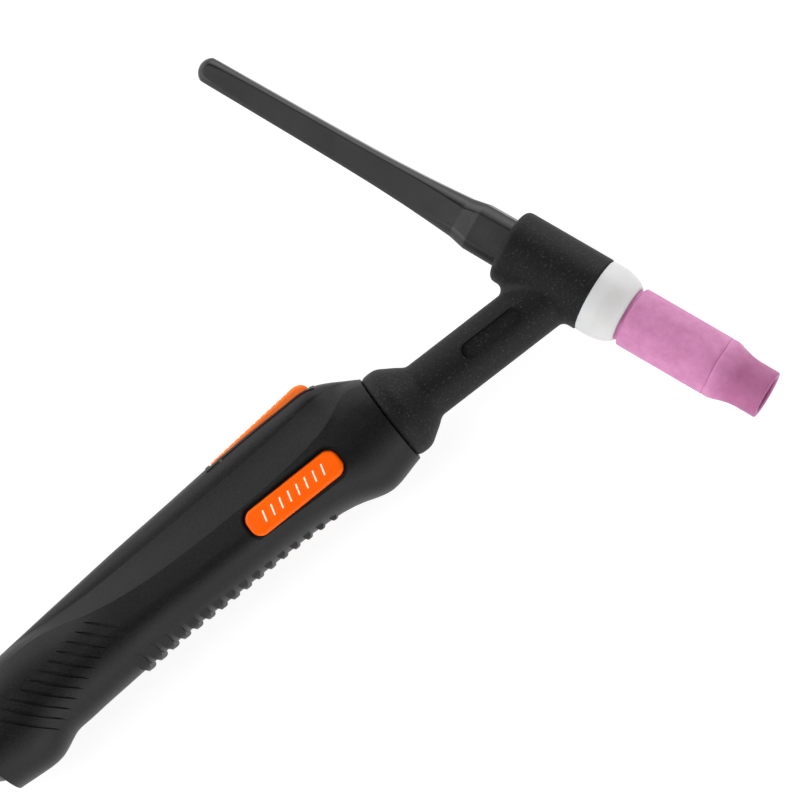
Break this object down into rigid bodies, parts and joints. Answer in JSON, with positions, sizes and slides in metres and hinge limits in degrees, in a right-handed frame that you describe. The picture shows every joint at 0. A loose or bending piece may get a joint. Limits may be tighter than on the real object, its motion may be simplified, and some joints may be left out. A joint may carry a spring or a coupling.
{
  "type": "tig torch",
  "caption": "Air-cooled TIG welding torch: T-shaped rubber head with ceramic nozzle and long back cap on an ergonomic two-shell handle with a trigger and a ball-joint rear.",
  "frame": {"origin": "middle of the bounding box's footprint, on the surface the torch lies on when it rests on one broad side", "axes": "+X along the neck from the handle to the head, +Y towards the trigger and the back cap, +Z across the handle, upwards as it lies on its side"},
  "size_m": [0.2749, 0.1854, 0.0328],
  "materials": {
    "moulded_rubber": "matte",
    "brass": "satin",
    "copper": "satin",
    "white_ptfe": "satin",
    "tungsten": "satin",
    "pink_alumina": "matte",
    "cap_phenolic": "satin",
    "seal_rubber": "matte",
    "handle_plastic": "satin",
    "zinc_steel": "satin",
    "orange_inlay": "gloss",
    "orange_trigger": "satin",
    "spring_steel": "satin",
    "switch_plastic": "satin",
    "button_plastic": "satin",
    "tinned_brass": "satin",
    "lead_insulation": "satin",
    "plug_nylon": "satin",
    "knuckle_plastic": "satin"
  },
  "bodies": {
    "torch": {"head_overmould": "moulded_rubber", "torch_core": "brass", "neck_tube": "copper", "cable_adaptor": "brass", "cup_gasket": "white_ptfe", "collet_body": "copper", "collet": "copper", "handle_shell_near": "handle_plastic", "handle_shell_far": "handle_plastic", "handle_screws": "zinc_steel", "badge_near": "orange_inlay", "badge_far": "orange_inlay", "trigger_pin": "zinc_steel", "trigger_spring": "spring_steel", "switch_body": "switch_plastic", "switch_terminals": "tinned_brass", "switch_leads": "lead_insulation", "lead_plug": "plug_nylon"},
    "nozzle": {"nozzle": "pink_alumina"},
    "electrode": {"electrode": "tungsten"},
    "cap_seal": {"back_cap_oring": "seal_rubber"},
    "back_cap": {"back_cap": "cap_phenolic"},
    "trigger": {"trigger": "orange_trigger"},
    "switch_plunger": {"switch_plunger": "button_plastic"},
    "knuckle": {"knuckle_ball": "knuckle_plastic"}
  },
  "joints": [
    {"name": "trigger_press", "type": "hinge", "parent": "torch", "child": "trigger", "pos_m": [-0.00758, -0.00912, 0.01642], "axis": [0, 0, -1], "range_deg": [0, 4], "stiffness_Nm_per_rad": 0.6, "springref_deg": -3.44, "deforming": ["trigger_spring"]},
    {"name": "switch_press", "type": "slide", "parent": "torch", "child": "switch_plunger", "axis": [0, -1, 0], "range_m": [0, 0.0011]},
    {"name": "nozzle_travel", "type": "slide", "parent": "torch", "child": "nozzle", "axis": [0.3714, -0.9285, 0], "range_m": [0, 0.012]},
    {"name": "electrode_feed", "type": "slide", "parent": "torch", "child": "electrode", "axis": [0.3714, -0.9285, 0], "range_m": [-0.004, 0.016]},
    {"name": "back_cap_travel", "type": "slide", "parent": "torch", "child": "cap_seal", "axis": [-0.3714, 0.9285, 0], "range_m": [0, 0.00801]},
    {"name": "back_cap_turn", "type": "hinge", "parent": "cap_seal", "child": "back_cap", "pos_m": [0.09814, -0.00886, 0.01642], "axis": [-0.3714, 0.9285, 0], "range_deg": [0, 2304]},
    {"name": "knuckle_tilt", "type": "hinge", "parent": "torch", "child": "knuckle", "pos_m": [-0.11098, -0.03043, 0.01642], "axis": [0, 0, 1], "range_deg": [-20, 20]}
  ],
  "couplings": [
    {"joint": "switch_press", "follows": "trigger_press", "m_per_rad": 0.0146},
    {"joint": "back_cap_travel", "follows": "back_cap_turn", "m_per_rad": 0.00019894}
  ]
}
